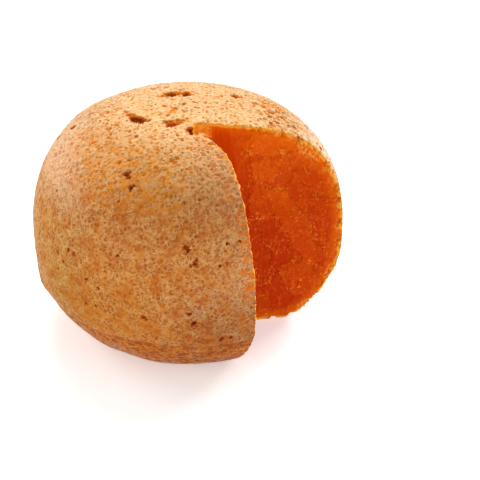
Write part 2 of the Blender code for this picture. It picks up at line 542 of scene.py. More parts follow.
def wandering_height(bench, mm):
    """Height in mm, pushed about by lumps and waves so that no ring round the ball is true."""
    lumps, waves = slow_waves(bench, mm)
    return mm.parts()[2] + (lumps - 0.5) * 7.0 + (waves - 0.5) * 2.0


def shallow_dishes(bench, mm):
    """A sponge of shallow dishes with crests between them, broken up by curling furrows."""
    rough = bench.warped(mm, 3.4, 0.9, 2.0)
    luck = bench.cell_luck(rough, DISH_SIZE)[0]
    dish = bench.cells(rough, DISH_SIZE, "DISTANCE_TO_EDGE").eased(0.02, 0.30) * luck.eased(0.0, 0.85)
    curl = (bench.noise(bench.warped(mm, 5.0, 1.2), 2.7, 1.0) - 0.5).size().eased(0.0, 0.13)
    return (dish * 0.62 + curl * 0.38).smaller(1.0)


def single_pits(bench, mm, crown):
    """Round pits here and there, more of them on the crown, and how deep each one is."""
    odd = bench.warped(mm, 4.0, 1.1, 2.0)
    wide, rare, deep = bench.cell_luck(odd, PIT_SPACING)
    pit = (bench.cells(odd, PIT_SPACING) - (wide * 0.15 + 0.11)).eased(0.05, -0.10)
    return pit * rare.calc("GREATER_THAN", crown * -0.30 + 0.95), deep * 0.6 + 0.6


def worm_burrows(bench, mm, lumps):
    """Burrows that run together in the worm-eaten patch of the crown."""
    eaten = (mm.vector("DISTANCE", WORM_PLACE) + (lumps - 0.5) * 20.0).eased(26.0, 12.0)
    return bench.noise(bench.warped(mm, 2.2, 0.8), 3.1, 1.0).eased(0.48, 0.37) * eaten


def carved_holes(bench, mm):
    """Depth of the large holes and those beside them, with ragged outlines."""
    ragged = bench.warped(bench.warped(mm, 2.1, 0.75), 1.0, 0.40).vector("SCALE", scale=MM)
    return bowl(bench, "Holes", ragged).larger(bowl(bench, "Smaller holes", ragged))


def crust_relief(bench, geometry):
    """Lumps, a network of crests round shallow dishes, single pits, large holes and the groove."""
    mm = bench.place().vector("SCALE", scale=1.0 / MM)
    height = mm.parts()[2]
    lumps, waves = slow_waves(bench, mm)
    single, single_depth = single_pits(bench, mm, height.eased(118.0, 138.0))
    pit = single.larger(worm_burrows(bench, mm, lumps) * 0.75)
    carved = carved_holes(bench, mm)
    pits = bench.join(shallow_dishes(bench, mm), pit, carved / FULL_HOLE)
    geometry = bench.noted(geometry, "pits", pits, "FLOAT_VECTOR")
    geometry = bench.noted(geometry, "carved", carved)

    hollow, pit_kept, _ = bench.known("pits", "FLOAT_VECTOR").parts()
    wavy = wandering_height(bench, mm)
    groove = wavy.bell(GROOVE_HEIGHT / MM, 1.6)
    worn = wavy.eased(GROOVE_HEIGHT / MM + 1.0, GROOVE_HEIGHT / MM - 2.5) * height.eased(4.0, 20.0)
    rugged = height.eased(98.0, 122.0) * height.eased(147.0, 136.0)
    strength = height.eased(6.0, 36.0) * 0.15 + 0.55 + rugged * 0.25 + height.eased(130.0, 142.0) * 0.20
    swells = [mm.vector("DISTANCE", (x, y, z)).eased(reach, 0.0) * rise for x, y, z, reach, rise in SWELLS]
    sunk = (
        (lumps - 0.5) * 0.75 + (waves - 0.5) * 0.50
        + hollow * bench.given("Sponge depth") * strength
        + pit_kept * single_depth * bench.given("Pit depth") * strength
        + groove * GROOVE_DEPTH + worn * 0.7 - functools.reduce(operator.add, swells)
    )
    inward = (sunk * MM + bench.known("carved")) * height.eased(0.2, 3.0)
    return bench.moved(geometry, offset=bench.normal().vector("SCALE", scale=inward * -1.0))


def crust_ball(material, holes, smaller_holes):
    """The whole ball with its pitted crust, before anything is cut."""
    bench = GeometryBench("ball_with_crust", {
        **BALL_SIZES, "Sponge depth": SPONGE_DEPTH, "Pit depth": PIT_DEPTH,
        "Holes": holes, "Smaller holes": smaller_holes,
    })
    bench.finished(crust_relief(bench, smooth_ball(bench)), material)
    return bench.apply_to(new_piece("ball"), Sink=CREST_SINK, Foot_sink=FOOT_CLEARANCE)


def core_ball(material):
    """What lies under the crust."""
    bench = GeometryBench("ball_under_crust", dict(BALL_SIZES))
    bench.finished(smooth_ball(bench), material)
    sink = CREST_SINK + CRUST_THICKNESS
    return bench.apply_to(new_piece("core"), Grid=CORE_GRID, Sink=sink, Foot_sink=CRUST_THICKNESS)


# ---------------------------------------------------------------- the notch

CUT_REACH = 116.0 * MM      # from the notch's inner corner to outside the ball
CUT_LOW = -6.0 * MM
CUT_HIGH = 156.0 * MM

# How far the knife strays from a straight cut, round the rim of each cut face:
# (distance along the cut, height, stray towards the far side), in mm
NEAR_STRAY = (
    (1.0, 146.5, -2.0), (10.0, 145.0, -1.6), (20.0, 142.7, 0.8), (30.0, 139.0, 1.9), (40.0, 133.8, 1.4),
    (51.0, 125.0, -0.1), (60.0, 113.0, -1.5), (67.0, 97.0, -2.0), (70.0, 77.0, -0.9), (71.0, 60.0, -0.4),
    (70.0, 48.0, 0.3), (67.0, 36.0, 2.0), (62.0, 27.0, 2.4), (40.0, 0.0, 0.8), (2.0, 0.0, 0.0),
)
FAR_STRAY = (
    (0.0, 147.4, 1.4), (8.0, 147.0, 1.2), (17.0, 146.0, -0.7), (27.0, 144.5, -0.4), (35.0, 142.7, -0.7),
    (46.0, 139.0, 1.3), (54.0, 135.5, 2.2), (64.0, 129.4, 3.4), (70.0, 123.0, 5.0), (78.0, 112.0, 4.4),
    (86.0, 94.0, 2.2), (88.0, 78.0, 0.4), (86.0, 60.0, 0.6), (75.0, 20.0, -0.6), (50.0, 0.0, 0.3),
    (2.0, 0.0, 0.5),
)
STRAY_CENTRE = (30.0, 72.0)
INNER_CORNER_OUT = np.array((-0.6, 0.0))     # extra lean of the blunt face's relief towards -X
BLUNT_WIDTH = math.dist(FAR_CUT_START, NEAR_CUT_START)


def from_face_middle(along, height):
    """Bearing and distance of a place on a cut face from the face's middle."""
    aside, up = along - STRAY_CENTRE[0], height - STRAY_CENTRE[1]
    return np.arctan2(up, aside), np.hypot(aside, up)


def stray(rim, along, height):
    """Stray of a cut at places given in mm: full at the rim, none at the face's middle."""
    table = sorted((*from_face_middle(place, level), off) for place, level, off in rim)
    bearings, distances, strays = zip(*table)
    turn, distance = from_face_middle(along, height)
    full = np.interp(turn, bearings, distances, period=2.0 * math.pi)
    off = np.interp(turn, bearings, strays, period=2.0 * math.pi)
    share = np.clip(distance / full, 0.0, 1.0)
    return off * share * share


def notch_plan():
    """The notch's walls from above, from the near cut's outer end round the blunt face to the far cut's.

    Gives the points, how far each lies along the walls from the blunt face's middle (below 0 on the near
    cut), and which way leads from there into the cheese.
    """
    far_way = np.array((math.cos(FAR_CUT_ANGLE), math.sin(FAR_CUT_ANGLE)))
    near_way = np.array((math.cos(NEAR_CUT_ANGLE), math.sin(NEAR_CUT_ANGLE)))
    far_start = np.array(FAR_CUT_START)
    near_start = np.array(NEAR_CUT_START)
    run = np.linspace(0.0, CUT_REACH, int(CUT_REACH / CUT_STEP))
    blunt_share = np.linspace(0.0, 1.0, int(BLUNT_WIDTH / CUT_STEP) + 2)[1:-1]
    plan = np.concatenate((
        near_start + run[::-1, None] * near_way,
        near_start + blunt_share[:, None] * (far_start - near_start),
        far_start + run[:, None] * far_way,
    ))
    half = BLUNT_WIDTH / 2.0
    along = np.concatenate((-run[::-1] - half, (blunt_share - 0.5) * BLUNT_WIDTH, run + half))
    near_out = np.array((near_way[1], -near_way[0]))
    far_out = np.array((-far_way[1], far_way[0]))
    turn = np.clip(along / BLUNT_WIDTH + 0.5, 0.0, 1.0)[:, None]
    outward = near_out * (1.0 - turn) + far_out * turn + INNER_CORNER_OUT * turn * (1.0 - turn)
    return plan, along, outward / np.linalg.norm(outward, axis=1)[:, None]


def grid_faces(rows, count):
    """Quads of a grid of points, then one face each for its bottom and top, and its open side."""
    corner = np.arange(rows * count).reshape(rows, count)
    quads = np.stack((corner[:-1, :-1], corner[:-1, 1:], corner[1:, 1:], corner[1:, :-1]), axis=-1)
    closing = np.stack((corner[:-1, -1], corner[:-1, 0], corner[1:, 0], corner[1:, -1]), axis=-1)
    ends = [corner[0, ::-1].tolist(), corner[-1].tolist()]
    return quads.reshape(-1, 4).tolist() + ends + closing.tolist()


def cut_walls():
    """The notch as a closed block: two cut walls and the blunt face between them, each a fine grid.

    Each grid point keeps how far along the walls it lies, and which way leads into the cheese.
    """
    plan, along, outward = notch_plan()
    heights = np.linspace(CUT_LOW, CUT_HIGH, int((CUT_HIGH - CUT_LOW) / CUT_STEP))
    count, rows = len(plan), len(heights)
    grid_along = np.tile(np.abs(along) / MM, (rows, 1))
    grid_height = np.tile(heights[:, None] / MM, (1, count))
    near_stray = stray(NEAR_STRAY, grid_along, grid_height)
    far_stray = stray(FAR_STRAY, grid_along, grid_height)
    aside = np.where(along < 0.0, -near_stray, far_stray) * MM
    points = np.zeros((rows, count, 3))
    points[:, :, :2] = plan + outward * aside[:, :, None]
    points[:, :, 2] = heights[:, None]
    mesh = bpy.data.meshes.new("notch")
    mesh.from_pydata(points.reshape(-1, 3).tolist(), [], grid_faces(rows, count))
    for label, values in (("along", along / MM), ("out_x", outward[:, 0]), ("out_y", outward[:, 1])):
        layer = mesh.attributes.new(label, "FLOAT", "POINT")
        layer.data.foreach_set("value", np.tile(values, rows).astype(np.float32))
    shape = bmesh.new()
    shape.from_mesh(mesh)
    bmesh.ops.recalc_face_normals(shape, faces=shape.faces)
    shape.to_mesh(mesh)
    shape.free()
    return new_piece("notch", mesh)


# Broad plates that broke away along the cut: (wall, along, height, half width, half height, lean, proud),
# in mm; lean tips the plate's outline over. The wall is 1 for the far cut and -1 for the near one.
BROKEN_PLATES = (
    (1, 46.0, 131.0, 19.0, 8.5, 0.05, 0.7), (1, 40.0, 112.5, 9.5, 7.0, 0.3, 0.6),
    (1, 37.5, 92.0, 6.5, 14.0, 0.1, 0.5), (1, 74.0, 106.0, 12.0, 19.0, 0.6, -0.8),
    (1, 61.0, 70.0, 9.0, 30.0, 0.5, 0.7), (1, 36.0, 52.0, 8.0, 22.0, 0.3, -0.6),
    (1, 66.0, 32.0, 13.0, 13.0, 0.3, 0.7), (1, 30.0, 14.0, 16.0, 8.0, 0.0, 0.6),
    (-1, 31.0, 118.0, 9.0, 20.0, 0.4, 0.8), (-1, 54.0, 84.0, 8.0, 34.0, 0.5, -0.9),
    (-1, 33.0, 66.0, 7.0, 36.0, 0.35, 0.8), (-1, 47.0, 28.0, 14.0, 14.0, 0.2, 0.8),
    (-1, 14.0, 24.0, 10.0, 16.0, 0.1, -0.6), (-1, 64.0, 60.0, 5.0, 16.0, 0.2, 0.9),
)
PLATE_HEIGHT = 0.8          # mm for a plate that is 1 proud
LEDGE_HEIGHT = 0.50         # mm
POCKET_WIDTH = 7.0          # mm that the crown's corner broke back by


def skin_depth(x, y, z):
    """Roughly how deep under the ball's surface a place lies, from its coordinates; all in mm."""
    radius = BALL_RADIUS / MM
    out = ((x * x) + (y * y)).calc("SQRT") / radius
    rise = (z - WIDEST_HEIGHT / MM).larger(0.0) / (CROWN_RISE / MM)
    drop = ((z * -1.0) + WIDEST_HEIGHT / MM).larger(0.0) / (LOWER_DROP / MM)
    above = (out ** CROWN_POWER + rise ** CROWN_POWER) ** (1.0 / CROWN_POWER)
    below = (out ** LOWER_POWER + drop ** LOWER_POWER) ** (1.0 / LOWER_POWER)
    whole = above.toward(below, z.calc("LESS_THAN", WIDEST_HEIGHT / MM))
    return (whole.flipped() * (radius * 0.93)).smaller(z)


def chipped(bench, place, size, share):
    """The push that draws a place toward the middle of its cell, so that outlines break up into chips."""
    middle = bench.cells(place, size, "F1", "Position")
    return middle.vector("SUBTRACT", place).vector("SCALE", scale=share)


def broken_plates(along, height):
    """How far the broad plates stand proud of a place on the cuts, and where their brinks run."""
    plates = []
    brinks = []
    for side, middle, level, half_width, half_height, lean, proud in BROKEN_PLATES:
        up = height - level
        across = along - side * middle + up * (side * lean)
        away = ((across / half_width) ** 2.0 + (up / half_height) ** 2.0) ** 0.5
        narrow = min(half_width, half_height)
        plates.append(away.eased(1.04, 0.96) * proud)
        brinks.append((away - 1.0).size().eased(1.6 / narrow, 0.6 / narrow))
    return functools.reduce(operator.add, plates), functools.reduce(Flow.larger, brinks)


def flaky_stairs(bench, wall, along, height, outer):
    """A stair of ledges across the cuts: how far up its step a place lies, and which steps are there."""
    slow = bench.noise(wall.vector("MULTIPLY", (1.0, 0.35, 1.0)), 24.0, 1.0) * 46.0
    steps = (along.size() * 0.62 + height * 0.2 + slow + bench.noise(wall, 8.0, 2.0) * 9.0) / 8.0
    level = steps.calc("FLOOR")
    luck = bench.noise(bench.join(level, bench.noise(wall, 30.0) * 5.0, 0.0), 0.77)
    return steps - level, outer * luck.eased(0.46, 0.56)


def crumbly_rim(bench, wall, along, height, depth, outer):
    """Where the paste crumbled: here and there under the crust, and all over the far cut's upper corner."""
    here_and_there = depth.eased(12.0, 1.0) * bench.noise(wall, 13.0, 1.0).eased(0.46, 0.60) * outer
    far_corner = along.eased(56.0, 64.0) * height.eased(106.0, 118.0)
    return here_and_there.larger(far_corner * depth.eased(14.0, 5.0))


def chipped_edge(bench, wall, along, depth):
    """Bites along the very edge, deeper on the far cut, and the lip that the crust leaves."""
    bite = (bench.noise(bench.warped(wall, 3.0, 1.0), 4.6, 2.0, 0.55) - 0.50).smaller(0.0)
    bites = bite * (along.eased(0.0, 24.0) * 6.0 + 1.5)
    nibbles = (bench.noise(wall, 2.0, 1.0) - 0.5) * 0.5
    return depth.eased(4.6, 0.4) * (bites + nibbles) + depth.eased(1.6, 0.2) * -0.25


def broken_corner(bench, along, height, lumps):
    """Where the corner beside the blunt face broke out of the crown."""
    half = bench.given("Blunt half width")
    beside = (along - half).eased(bench.given("Pocket width"), 0.0) * (along + half).eased(-0.7, 0.0)
    return beside * (height + (lumps - 0.5) * 5.0).eased(131.0, 139.0)


def cut_relief(bench, geometry):
    """Knife lines by the inner corner, flaky ledges and broken plates beyond it, a crumbly rim."""
    along = bench.known("along")
    x, y, z = bench.place().vector("SCALE", scale=1.0 / MM).parts()
    wall = bench.join(along, z, 0.0)
    depth = skin_depth(x, y, z)
    outer = (along.size() + (bench.noise(wall, 12.0, 2.0) - 0.5) * 26.0).eased(17.0, 27.0)
    swell = bench.noise(wall, 26.0, 1.0)
    lumps = bench.noise(wall, 6.5, 3.0, 0.55)
    grain = bench.noise(wall, 1.7, 2.0, 0.6)
    strokes = bench.noise(wall.vector("MULTIPLY", (1.0, 0.07, 1.0)), 1.9, 3.0, 0.6)
    scuffs = bench.noise(wall, 10.0, 2.0).eased(0.46, 0.62)

    bent = bench.warped(wall, 15.0, 4.0)
    coarse_chips, fine_chips = chipped(bench, bent, 6.5, 0.65), chipped(bench, bent, 2.4, 0.9)
    ragged_along, ragged_height, _ = bent.vector("ADD", coarse_chips).vector("ADD", fine_chips).parts()
    plates, brinks = broken_plates(ragged_along, ragged_height)
    stair, flake = flaky_stairs(bench, wall, ragged_along, ragged_height, outer)
    ledge = stair.eased(0.0, 0.07) * stair.flipped()
    tip = broken_corner(bench, along, z, lumps)
    crumbly = crumbly_rim(bench, wall, along, z, depth, outer)
    crumbs = bench.noise(bench.warped(wall, 2.0, 0.8), 2.6, 2.0, 0.65)

    # edge marks the brinks of ledges and plates; the paste is painted pale there as a highlight, where they
    # would catch the light
    edge = (stair.eased(0.26, 0.10) * flake * scuffs).larger(brinks * scuffs)
    shown = plates.larger(0.0).larger(crumbly * 2.0).larger(tip.eased(0.0, 0.5) * 3.0)
    geometry = bench.noted(geometry, "flakes", bench.join(edge, shown, outer.larger(tip)), "FLOAT_VECTOR")
    proud = (
        plates * bench.given("Plate height")
        + ledge * flake * bench.given("Ledge height")
        + (strokes - 0.5) * (outer.flipped() * 0.60 + 0.12)
        + (swell - 0.5) * 1.6
        + (lumps - 0.5) * (outer * 0.55 + 0.15)
        + (grain - 0.5) * (outer * 0.25 + 0.15)
        + (crumbs - 0.5) * crumbly * 2.8
        + chipped_edge(bench, wall, along, depth) * 3.2
    )
    push = bench.join(bench.known("out_x"), bench.known("out_y"), 0.0).vector("SCALE", scale=proud * -MM)
    pocket = bench.join(tip * bench.given("Pocket width") * -MM, 0.0, 0.0)
    return bench.moved(geometry, offset=push.vector("ADD", pocket))


def notch_block(material):
    """The block that cuts the notch, with the broken surface of the paste on its walls."""
    bench = GeometryBench("cut_face_relief", {
        "Plate height": PLATE_HEIGHT, "Ledge height": LEDGE_HEIGHT, "Pocket width": POCKET_WIDTH,
        "Blunt half width": BLUNT_WIDTH / MM / 2.0,
    })
    bench.finished(cut_relief(bench, bench.given("Geometry")), material)
    return bench.apply_to(cut_walls())


# ---------------------------------------------------------------- cutting

BLOCK_FACES = ((3, 2, 1, 0), (4, 5, 6, 7), (0, 1, 5, 4), (1, 2, 6, 5), (2, 3, 7, 6), (3, 0, 4, 7))
BLOCK_REACH = 4.0 * BALL_RADIUS      # from the middle to well outside the ball
CARRY_NEAR = 0.10 * MM      # values are carried over in full this close to their surface
CARRY_FAR = 0.30 * MM       # and not at all beyond this
ON_SEAM = 0.002 * MM        # a vertex this close to a seam's plane belongs to the seam
ON_SURFACE = 0.02 * MM      # and to the ball's surface this close to it
SHARP_ANGLE = math.radians(58.0)


def cut(piece, tool, operation):
    """Cut or keep what a closed block covers."""
    step = piece.modifiers.new(operation.lower(), "BOOLEAN")
    step.operation = operation
    step.solver = "MANIFOLD"
    step.material_mode = "TRANSFER"
    step.object = tool
    return made_plain(piece)


def copied(piece, name):
    """A piece of its own with the same mesh."""
    return new_piece(name, piece.data.copy())


def upright_block(name, plan, low, high, material):
    """A block of space over four corners seen from above, between two heights."""
    mesh = bpy.data.meshes.new(name)
    mesh.from_pydata([(x, y, level) for level in (low, high) for x, y in plan], [], BLOCK_FACES)
    mesh.materials.append(material)
    return new_piece(name, mesh)


def foot_slab(material):
    """A flat block wider than the ball, from below the foot to the seam above it."""
    half = BLOCK_REACH / 2.0
    plan = ((-half, -half), (half, -half), (half, half), (-half, half))
    return upright_block("foot_slab", plan, -BALL_RADIUS / 2.0, FOOT_SPLIT, material)


def sector_block(name, start, end, material):
    """An upright sector of space between two angles, round the crust's split hub."""
    hub = Vector(SPLIT_HUB)
    turns = (start, (start + end) / 2.0, end)
    plan = [hub] + [hub + BLOCK_REACH * Vector((math.cos(turn), math.sin(turn))) for turn in turns]
    return upright_block(name, plan, -BALL_RADIUS, 3.0 * BALL_RADIUS, material)


def carried_over(piece, source, name):
    """Read three named values, kept as one vector, from a surface onto what was cut along it."""
    bench = GeometryBench("carry_over_" + name, {"Source": source})
    surface = bench.mesh_of("Source")
    value = bench.on_surface(surface, bench.known(name, "FLOAT_VECTOR"), "FLOAT_VECTOR")
    spot = bench.on_surface(surface, bench.place(), "FLOAT_VECTOR")
    close = spot.vector("DISTANCE", bench.place()).eased(CARRY_FAR, CARRY_NEAR)
    kept = value.vector("SCALE", scale=close)
    bench.finished(bench.noted(bench.given("Geometry"), name, kept, "FLOAT_VECTOR"))
    return bench.apply_to(piece)


def off_seams(spot):
    """How far a place is from the nearest seam plane."""
    from_hub = spot.xy - Vector(SPLIT_HUB)
    gaps = [abs(spot.z - FOOT_SPLIT)]
    for turn in CRUST_SPLITS[1:-1]:
        gaps.append(abs(from_hub.x * math.sin(turn) - from_hub.y * math.cos(turn)))
    return min(gaps)


def seams_hidden(pieces, ball):
    """Give the vertices along the seams the normals of the ball before it was split."""
    whole = ball.data
    tree = BVHTree.FromPolygons([v.co for v in whole.vertices], [tuple(p.vertices) for p in whole.polygons])
    for piece in pieces:
        mesh = piece.data
        wanted = [(0.0, 0.0, 0.0)] * len(mesh.vertices)      # zero leaves a normal as it is
        for vertex in mesh.vertices:
            if off_seams(vertex.co) > ON_SEAM:
                continue
            spot, _, face, gap = tree.find_nearest(vertex.co)
            if gap > ON_SURFACE:
                continue
            corners = whole.polygons[face].vertices
            shares = poly_3d_calc([whole.vertices[i].co for i in corners], spot)
            normal = Vector()
            for i, share in zip(corners, shares):
                normal += whole.vertices[i].normal * share
            wanted[vertex.index] = tuple(normal.normalized())
        mesh.normals_split_custom_set_from_vertices(wanted)


def shaded(piece):
    """Smooth shading, with true edges kept."""
    piece.data.shade_smooth()
    piece.data.set_sharp_from_angle(angle=SHARP_ANGLE)
    return piece


# ---------------------------------------------------------------- finishes

def new_finish(name):
    """An empty material with its shader, a bench to lay its nodes on, and the place on the piece in mm."""
    material = bpy.data.materials.new(name)
    material.use_nodes = True
    bench = Bench(material.node_tree)
    shader = material.node_tree.nodes["Principled BSDF"]
    coordinates = bench.add("ShaderNodeTexCoord")
    mm = Flow(bench, coordinates.outputs["Object"]).vector("SCALE", scale=1.0 / MM)
    return material, bench, shader, mm


def noted_values(bench, name):
    """Three values kept on the mesh as one vector."""
    return Flow(bench, bench.add("ShaderNodeAttribute", attribute_name=name).outputs["Vector"]).parts()


def srgb(red, green, blue):
    """A colour as a paint chart gives it, 0 to 255, made linear."""
    def linear(value):
        value = value / 255.0
        return value / 12.92 if value <= 0.04045 else ((value + 0.055) / 1.055) ** 2.4
    return (linear(red), linear(green), linear(blue), 1.0)


def bump(bench, shader, height, reach):
    """Fine relief under the mesh's own; reach in mm."""
    node = bench.add("ShaderNodeBump")
    node.inputs["Strength"].default_value = 1.0
    node.inputs["Distance"].default_value = reach * MM
    bench.plug(height, node.inputs["Height"])
    bench.tree.links.new(node.outputs[0], shader.inputs["Normal"])


# The crust's ground: side, crown and the hollows of the shoulder
SIDE_TAN = srgb(218, 138, 60)
SIDE_BROWN = srgb(190, 95, 24)
SIDE_OCHRE = srgb(212, 130, 34)
CROWN_STRAW = srgb(230, 184, 128)
CROWN_AMBER = srgb(222, 150, 64)
CROWN_BACK = srgb(206, 158, 102)
GRAIN_BROWN = srgb(168, 84, 24)
SHOULDER_GOLD = srgb(218, 110, 12)
SHOULDER_BROWN = srgb(192, 98, 28)
# What lies on it: strands, pits, furrows, and bloom, which near the outline is a painted rim highlight
STRAND_SIDE = srgb(234, 180, 114)
STRAND_LOW_FRONT = srgb(232, 196, 152)
STRAND_CROWN = srgb(250, 214, 164)
PIT_SIDE = srgb(186, 94, 24)
PIT_CROWN = srgb(220, 122, 14)
FURROW_ORANGE = srgb(240, 146, 34)
BLOOM_AND_RIM_LIGHT = srgb(246, 218, 184)
CUT_FLOUR = srgb(228, 192, 150)
BARE_PASTE = srgb(238, 120, 28)
BARE_EDGE_GLOW = srgb(250, 162, 32)
# Tints that the ground and all on it are multiplied by; the low one and the one on the crown's back are
# painted shade
SHADE_TINT_LOW = srgb(240, 234, 214)
SHADE_TINT_CROWN_BACK = srgb(248, 251, 255)
TINT_RUDDY = srgb(255, 241, 228)
TINT_LEFT = srgb(241, 254, 255)
TINT_SHADED = srgb(228, 216, 212)
# The groove's painted shade, the foot's edge and the large holes, whose floors are partly painted shade
GROOVE_SHADE = srgb(150, 70, 20)
UNDER_DARK = srgb(150, 66, 16)
UNDER_TAN = srgb(212, 124, 46)
HOLE_WALL_SIDE = srgb(180, 92, 28)
HOLE_WALL_CROWN = srgb(224, 126, 30)
HOLE_FLOOR_SIDE_BROWN_AND_SHADE = srgb(150, 50, 8)
HOLE_FLOOR_CROWN_BROWN_AND_SHADE = srgb(150, 54, 8)

SPECK_SPACING = 2.5         # mm
FURROW_WAY = (0.75, 0.61, 0.25)      # the way that the furrows of the front shoulder run, about 1 long
FURROW_STRETCH = 0.62


def crust_lace(bench, mm):
    """A lace of thin strands, denser in clusters."""
    wander = (bench.noise(bench.warped(mm, 3.2, 1.1, 2.0), 2.6, 2.0) - 0.5).size().eased(0.075, 0.010)
    web = bench.cells(bench.warped(mm, 2.2, 0.9, 2.0), 2.5, "DISTANCE_TO_EDGE").eased(0.17, 0.03)
    cluster = bench.noise(mm, 9.0, 4.0, 0.62).eased(0.36, 0.58)
    return wander.larger(web * 0.80) * (cluster * 0.80 + 0.20)


def crust_specks(bench, mm):
    """Pits too fine for the mesh."""
    place = bench.warped(mm, 2.0, 0.75, 2.0)
    luck = bench.cell_luck(place, SPECK_SPACING)[0]
    return bench.cells(place, SPECK_SPACING).eased(0.50, 0.26) * luck.eased(0.44, 0.64)


def shoulder_furrows(bench, mm):
    """Furrows of the front shoulder, drawn out along their way."""
    reach = mm.vector("DOT_PRODUCT", FURROW_WAY) * FURROW_STRETCH
    drawn = mm.vector("SUBTRACT", bench.join(*FURROW_WAY).vector("SCALE", scale=reach))
    return bench.noise(bench.warped(drawn, 2.4, 0.7), 2.3, 2.0, 0.55).eased(0.49, 0.59)


class CrustMarks:
    """Marks and regions of the crust that several of its colours share, each 0 to 1."""

    def __init__(self, bench, mm):
        self.x, self.y, self.z = mm.parts()
        self.hollow, self.pit, self.hole = noted_values(bench, "pits")
        self.lace = crust_lace(bench, mm)
        self.speck = crust_specks(bench, mm)
        self.furrow = shoulder_furrows(bench, mm)
        self.soft = bench.noise(mm, 3.4, 2.0).eased(0.40, 0.62)
        self.dust = bench.noise(mm, 1.0, 3.0, 0.7)
        self.blotch = bench.noise(mm, 19.0, 3.0, 0.6)
        self.patch = bench.noise(mm, 5.0, 4.0, 0.68)
        self.fleck = bench.noise(bench.warped(mm, 2.0, 0.5), 1.7, 3.0, 0.65)
        self.crown = (self.z + (self.blotch - 0.5) * 26.0).eased(116.0, 140.0)
        self.shoulder = self.z.eased(112.0, 126.0) * self.z.eased(147.0, 138.0)
        self.upper = self.crown.larger(self.shoulder)
        vivid = self.crown.larger(self.shoulder * 0.9) * 0.45 + 0.55
        self.orange_pits = self.speck.larger(self.pit) * vivid
        self.strokes = self.shoulder * self.y.eased(10.0, -36.0) * self.x.eased(10.0, -18.0)


def crust_ground(bench, on):
    """Orange-brown side, paler crown, fine brown grain, tanned hollows on the shoulder."""
    yellow = on.x.eased(0.0, -60.0) * on.z.eased(100.0, 60.0) * on.blotch.eased(0.30, 0.55)
    side = bench.blend(on.patch.eased(0.38, 0.60), SIDE_TAN, SIDE_BROWN)
    ochre = bench.blend(yellow * 0.65, side, SIDE_OCHRE)
    straw = bench.blend(on.hollow * 0.55 + on.patch.eased(0.40, 0.65) * 0.35, CROWN_STRAW, CROWN_AMBER)
    top = bench.blend(on.y.eased(-20.0, 40.0) * on.crown * 0.7, straw, CROWN_BACK)
    grain = (on.dust.eased(0.50, 0.72) * 0.45 + on.hollow * 0.35).smaller(1.0) * on.crown.flipped()
    sunken = on.hollow.eased(0.20, 0.65) * on.shoulder * (on.soft * 0.7 + 0.3)
    tan = bench.blend(on.x.eased(-24.0, 4.0), SHOULDER_GOLD, SHOULDER_BROWN)
    return bench.layered(bench.blend(on.crown, ochre, top), ((grain, GRAIN_BROWN), (sunken * 0.95, tan)))


def crust_strands(bench, on):
    """Layers of the pale lace, of the orange in its pits and of the shoulder's furrows."""
    golden = on.shoulder * on.y.eased(10.0, -40.0) * on.x.eased(-64.0, -30.0) * on.x.eased(44.0, 10.0)
    low_front = on.x.eased(-34.0, 6.0) * on.z.eased(86.0, 62.0) * on.blotch.eased(0.38, 0.54)
    lower_strand = bench.blend(low_front, STRAND_SIDE, STRAND_LOW_FRONT)
    strand = bench.blend(on.upper * (golden * -0.80 + 1.0), lower_strand, STRAND_CROWN)
    return (
        (on.lace * (on.hollow * -0.6 + 1.0) * (on.crown * -0.1 + 0.84), strand),
        (on.orange_pits, bench.blend(on.upper, PIT_SIDE, PIT_CROWN)),
        (on.strokes * (on.furrow * 0.70 + on.patch.eased(0.40, 0.56) * 0.25), FURROW_ORANGE),
    )


def crust_bloom_and_rim_light(on):
    """Layer of pale bloom on the upper left, and a painted rim highlight of the light from behind on the
    upper rim, in the same pale colour.
    """
    left = on.blotch.eased(0.52, 0.66) * on.x.eased(-50.0, -70.0) * on.z.eased(96.0, 120.0)
    # painted highlight: near the left and right outline the crust is painted pale, where light from behind
    # catches the rim
    right_rim = on.x.eased(60.0, 84.0) * on.z.eased(92.0, 116.0)
    left_rim = on.x.eased(-56.0, -84.0) * on.z.eased(96.0, 124.0) * 0.7
    rim = right_rim.larger(left_rim) * on.orange_pits.flipped() * 0.75
    return ((left * 0.35).larger(rim) * on.fleck.eased(0.32, 0.52), BLOOM_AND_RIM_LIGHT)


def crust_by_near_cut(bench, mm, on):
    """Layers of flour and of bare paste beside the near cut; the bare paste is painted brighter at the very
    edge as a glow.
    """
    way_x, way_y = math.cos(NEAR_CUT_ANGLE), math.sin(NEAR_CUT_ANGLE)
    from_cut = (on.x - NEAR_CUT_START[0] / MM) * way_y - (on.y - NEAR_CUT_START[1] / MM) * way_x
    beside = from_cut.eased(36.0, 2.0) * on.y.eased(-20.0, -44.0)
    flour = on.fleck.eased(0.48, 0.60) * beside * on.z.eased(30.0, 44.0)
    spots = bench.noise(bench.warped(mm, 2.4, 0.9, 2.0), 3.2, 3.0, 0.66)
    belt = on.z.eased(128.0, 108.0) * on.z.eased(58.0, 80.0)
    bare = from_cut.eased(15.0, 0.0) * beside * on.z.eased(40.0, 60.0)
    edge = from_cut.eased(1.3, 0.6) * (spots + belt * 0.05).eased(0.46, 0.52) * on.z.eased(40.0, 66.0)
    patches = (spots + bare * (belt * 0.13 + 0.01)).eased(0.57, 0.61) * bare.eased(0.0, 0.25)
    # painted glow: the bare paste brighter and yellower within a few mm of the cut, standing in for light
    # through the thin edge
    paste = bench.blend(from_cut.eased(3.0, 0.8), BARE_PASTE, BARE_EDGE_GLOW)
    return (
        (flour * 0.55, CUT_FLOUR),
        (patches.larger(edge) * on.y.eased(-16.0, -27.0) * 0.9, paste),
    )


